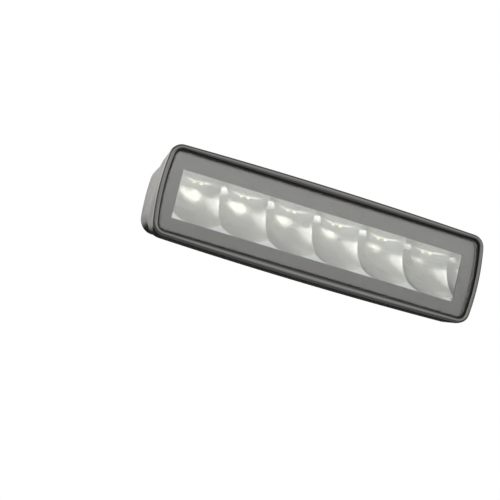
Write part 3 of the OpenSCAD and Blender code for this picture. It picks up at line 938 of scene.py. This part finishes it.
# (distance from the middle of the bar, radius)
SCREW_SECTION = [(84.8, 2.1), (85.2, SHANK_R), (HEAD_IN, SHANK_R), (HEAD_IN, HEAD_R),
                 (HEAD_OUT - 0.7, HEAD_R), (HEAD_OUT - 0.1, 3.6), (HEAD_OUT, 3.3), (HEAD_OUT, 2.75),
                 (HEAD_OUT - 0.25, 2.62)]
WASHER_SECTION = [(95.55, 2.62), (96.45, 2.62), (96.45, 4.8), (96.3, 4.98), (95.7, 4.98), (95.55, 4.8)]
SOCKET_IN, SOCKET_OUT = 98.9, 102.5
SOCKET_R = 2.31
KNURL_RIDGES = 36
KNURL_DEPTH = 0.018


def knurl(angle, radius):
    """Ridges round the screw's head. The shank is narrower and stays round."""
    if radius <= 4:
        return radius
    ridge = 1 if int(angle / (2 * math.pi) * 2 * KNURL_RIDGES) % 2 else -1
    return radius * (1 + KNURL_DEPTH * ridge)


def on_side(side, section):
    """A turned section, mirrored where side is -1."""
    return [(side * along, radius) for along, radius in section]


def make_pivots():
    """Socket-head screws with knurled heads, and their washers."""
    sides = (-1, 1)
    screws = [lathe(on_side(side, SCREW_SECTION), PIVOT_LINE, "x", 144, knurl) for side in sides]
    bolts = finish_mesh("pivot_bolts", *joined(screws), "black_oxide", stands_for=["pivot_screws"])
    sockets = []
    for side in sides:
        inner, outer = sorted((side * SOCKET_IN, side * SOCKET_OUT))
        sockets.append(lathe([(inner, SOCKET_R), (outer, SOCKET_R)], PIVOT_LINE, "x", 6))
    cut(bolts, [joined(sockets)])
    washers = joined([pipe(on_side(side, WASHER_SECTION), PIVOT_LINE, "x", 64) for side in sides])
    body = "mounting_bracket"
    finish_mesh("pivot_rings", *washers, "steel_zinc", body, stands_for=["pivot_washers"])


make_pivots()


# ---------------------------------------------------------------- cable gland and vent, as (y, radius) in mm
GLAND_FLANGE = [(45.5, 3.4), (45.5, 8.2), (45.8, 8.5), (48.2, 8.5), (48.5, 8.2), (48.5, 3.4)]
GLAND_THREAD = [(39.0, 3.4), (39.0, 5.8), (45.6, 5.8), (45.6, 3.4)]
GLAND_NECK = [(48.3, 4.52), (48.3, 5.5), (51.9, 5.5), (51.9, 4.52)]
GLAND_NUT = [(48.6, 5.6), (48.6, 6.9), (49.0, 7.2), (52.6, 7.1), (54.4, 6.4), (55.6, 5.2), (56.0, 4.4),
             (56.0, 3.7), (54.0, 3.62), (54.0, 4.5), (52.1, 4.5), (52.1, 5.6)]
GLAND_SEAL = [(47.0, 3.0), (47.0, 4.43), (53.98, 4.43), (53.98, 3.3), (53.7, 3.0)]
VENT_CAP = [(39.2, 2.9), (44.2, 2.9), (44.2, 5.7), (44.5, 6.0), (46.2, 6.0), (46.7, 5.6), (46.8, 5.0),
            (46.8, 1.5), (46.5, 1.2)]


def hexagon(angle, radius):
    """A hexagon of the same reach with slightly rounded corners. The bore stays round."""
    if radius <= 4:
        return radius
    step = math.pi / 3
    return radius * min(math.cos(step / 2) / math.cos((angle % step) - step / 2), 0.985)


def ribs(angle, radius):
    """Soft grip ribs round the nut's wide part."""
    return radius + 0.22 * math.cos(angle * 18) if radius > 6.2 else radius


def notches(angle, radius):
    """Eight grip notches round the cap's rim."""
    return radius - 0.35 if radius > 5 and math.cos(angle * 8) > 0.6 else radius


def make_gland():
    """A gland with a hexagonal flange, a ribbed dome nut and a rubber seal in its bore."""
    flange = pipe(GLAND_FLANGE, GLAND, sides=96, shape=hexagon)
    body = joined([flange, pipe(GLAND_THREAD, GLAND), pipe(GLAND_NECK, GLAND)])
    finish_mesh("gland_hex", *body, "plastic_black", stands_for=["cable_gland_body"])
    nut = pipe(GLAND_NUT, GLAND, sides=144, shape=ribs)
    finish_mesh("gland_dome", *nut, "plastic_black", stands_for=["gland_nut"])
    finish_mesh("gland_sleeve", *pipe(GLAND_SEAL, GLAND), "rubber_black", stands_for=["gland_seal"])


def make_vent():
    """The vent's plug, with a notched cap."""
    plug = lathe(VENT_CAP, VENT, sides=96, shape=notches)
    finish_mesh("vent_plug", *plug, "plastic_black", stands_for=["vent_cap"])


make_gland()
make_vent()


# ---------------------------------------------------------------- pieces shown as the CAD has them
CARRIED = {
    "reflector_screws": "steel_zinc",
    "led_board": "board_white",
    "thermal_pad": "thermal_grey",
    "board_screws": "steel_zinc",
    "led_connector": "plastic_white",
    "board_leads": "wire_red",
    "driver_board": "board_green",
    "driver_screws": "steel_zinc",
    "driver_connector": "plastic_white",
    "input_terminal": "plastic_black",
    "driver_capacitors": "plastic_black",
    "driver_inductors": "plastic_black",
    "driver_chips": "plastic_black",
    "gland_o_ring": "rubber_black",
    "vent_membrane": "membrane_white",
    "vent_o_ring": "rubber_black",
}
for node_name, finish_name in CARRIED.items():
    NODES[node_name].data.materials.clear()
    NODES[node_name].data.materials.append(FINISHES[finish_name])


# ---------------------------------------------------------------- floor and light
FLOOR_R = 0.75
FLOOR_Z = -0.33
FLOOR_FADE = 0.45
SKY_LOW = 0.62
SKY_HIGH = 0.75
GROUND_BEHIND = 0.02
GROUND_AHEAD = 0.55
CARD_LOW, CARD_HIGH = 0.17, 0.24
CARD_DIM, CARD_BRIGHT = 1.2, 2.3
REAR_LAMP = (-0.27, 0.946, 0.19)
REAR_STRENGTH = 0.97
WARM = (1.0, 0.98, 0.935)
COOL = (0.98, 0.99, 1.0)
WHITE = (1.0, 1.0, 1.0)


def make_floor():
    """A small pale sheet under the lamp that fades out towards its rim and can't be seen from below."""
    mesh = bpy.data.meshes.new("floor")
    rim = arc(0, 0, FLOOR_R, 0, 2 * math.pi, 64)[:-1]
    mesh.from_pydata([(x, y, FLOOR_Z) for x, y in rim], [], [tuple(range(len(rim)))])
    floor = bpy.data.objects.new("floor", mesh)
    bpy.context.scene.collection.objects.link(floor)
    m = Material("floor_paper", Roughness=0.7, Base_Color=(0.8, 0.8, 0.79, 1))
    flat = m.add("ShaderNodeMapping", {"Vector": m.place, "Scale": (1 / FLOOR_R, 1 / FLOOR_R, 0)})
    disc = m.add("ShaderNodeTexGradient", {"Vector": flat.outputs[0]}, gradient_type="SPHERICAL")
    fade = m.ramp(disc.outputs["Fac"], 0.0, 1.0, 0.0, FLOOR_FADE)
    below = m.add("ShaderNodeNewGeometry").outputs["Backfacing"]
    above = m.add("ShaderNodeMath", {0: 1.0, 1: below}, operation="SUBTRACT")
    shown = m.add("ShaderNodeMath", {0: fade, 1: above.outputs[0]}, operation="MULTIPLY")
    m.link(shown.outputs[0], "Alpha")
    mesh.materials.append(m.material)


class Sky:
    """Light from all round, by direction, with small helpers for its nodes."""

    def __init__(self):
        world = bpy.data.worlds.new("studio")
        bpy.context.scene.world = world
        world.use_nodes = True
        self.tree = world.node_tree
        self.background = self.tree.nodes["Background"]
        self.direction = self.tree.nodes.new("ShaderNodeTexCoord").outputs["Generated"]
        split = self.tree.nodes.new("ShaderNodeSeparateXYZ")
        self.tree.links.new(self.direction, split.inputs[0])
        self.x, self.y, self.z = split.outputs

    def steps(self, value, start, end, low, high):
        """A smooth step from low, where value is start, to high, where it is end."""
        node = self.tree.nodes.new("ShaderNodeMapRange")
        node.interpolation_type = "SMOOTHSTEP"
        self.tree.links.new(value, node.inputs[0])
        for socket, number in zip(list(node.inputs)[1:5], (start, end, low, high)):
            socket.default_value = number
        return node.outputs[0]

    def math(self, operation, a, b):
        """The result of a sum, product or the like of two numbers or sockets."""
        node = self.tree.nodes.new("ShaderNodeMath")
        node.operation = operation
        for socket, value in zip(node.inputs, (a, b)):
            if isinstance(value, float):
                socket.default_value = value
            else:
                self.tree.links.new(value, socket)
        return node.outputs[0]

    def both(self, first, *more):
        """The product of several sockets."""
        for value in more:
            first = self.math("MULTIPLY", first, value)
        return first

    def towards(self, direction, start, end, strength):
        """A soft round lamp seen in one direction."""
        node = self.tree.nodes.new("ShaderNodeVectorMath")
        node.operation = "DOT_PRODUCT"
        self.tree.links.new(self.direction, node.inputs[0])
        node.inputs[1].default_value = direction
        return self.steps(node.outputs["Value"], start, end, 0.0, strength)

    def mix(self, factor, a, b):
        """A blend of two colours, each three numbers or a socket."""
        node = self.tree.nodes.new("ShaderNodeMix")
        node.data_type = "RGBA"
        self.tree.links.new(factor, node.inputs[0])
        for socket, value in ((node.inputs[6], a), (node.inputs[7], b)):
            if isinstance(value, tuple):
                socket.default_value = (*value, 1)
            else:
                self.tree.links.new(value, socket)
        return node.outputs[2]


def room_light(sky):
    """A pale room that brightens overhead. Its lower part is dark behind the lamp and pale ahead of it."""
    behind = sky.steps(sky.y, 0.1, 0.5, 0.0, 1.0)
    ahead = sky.math("SUBTRACT", 1.0, behind)
    dark = sky.steps(sky.z, 0.06, 0.4, GROUND_BEHIND, SKY_LOW)
    pale = sky.steps(sky.z, -0.9, -0.2, GROUND_AHEAD, SKY_LOW)
    base = sky.math("ADD", sky.both(dark, behind), sky.both(pale, ahead))
    return sky.math("ADD", base, sky.steps(sky.z, 0.6, 1.0, 0.0, SKY_HIGH - SKY_LOW))


def card_light(sky):
    """A wide bright card ahead of the lamp, a little above its level, brighter at its top."""
    card = sky.steps(sky.z, CARD_LOW, CARD_HIGH, CARD_DIM, CARD_BRIGHT)
    top = sky.steps(sky.z, 0.28, 0.5, 1.0, 0.0)
    front = sky.steps(sky.y, -0.8, -0.45, 1.0, 0.0)
    bottom = sky.steps(sky.z, -0.02, 0.1, 0.0, 1.0)
    return sky.both(card, top, sky.both(front, bottom))


def make_sky():
    """Joins the lights. The camera itself sees plain white."""
    sky = Sky()
    total = sky.math("ADD", room_light(sky), card_light(sky))
    total = sky.math("ADD", total, sky.towards(REAR_LAMP, 0.93, 0.98, REAR_STRENGTH))
    seen = sky.tree.nodes.new("ShaderNodeLightPath").outputs["Is Camera Ray"]
    strength = sky.math("MAXIMUM", seen, sky.both(total, sky.math("SUBTRACT", 1.0, seen)))
    tint = sky.mix(sky.steps(sky.z, 0.1, 0.9, 0.0, 1.0), WARM, COOL)
    sky.tree.links.new(strength, sky.background.inputs["Strength"])
    sky.tree.links.new(sky.mix(seen, tint, WHITE), sky.background.inputs["Color"])


make_floor()
make_sky()
bpy.context.scene.view_settings.view_transform = "Standard"
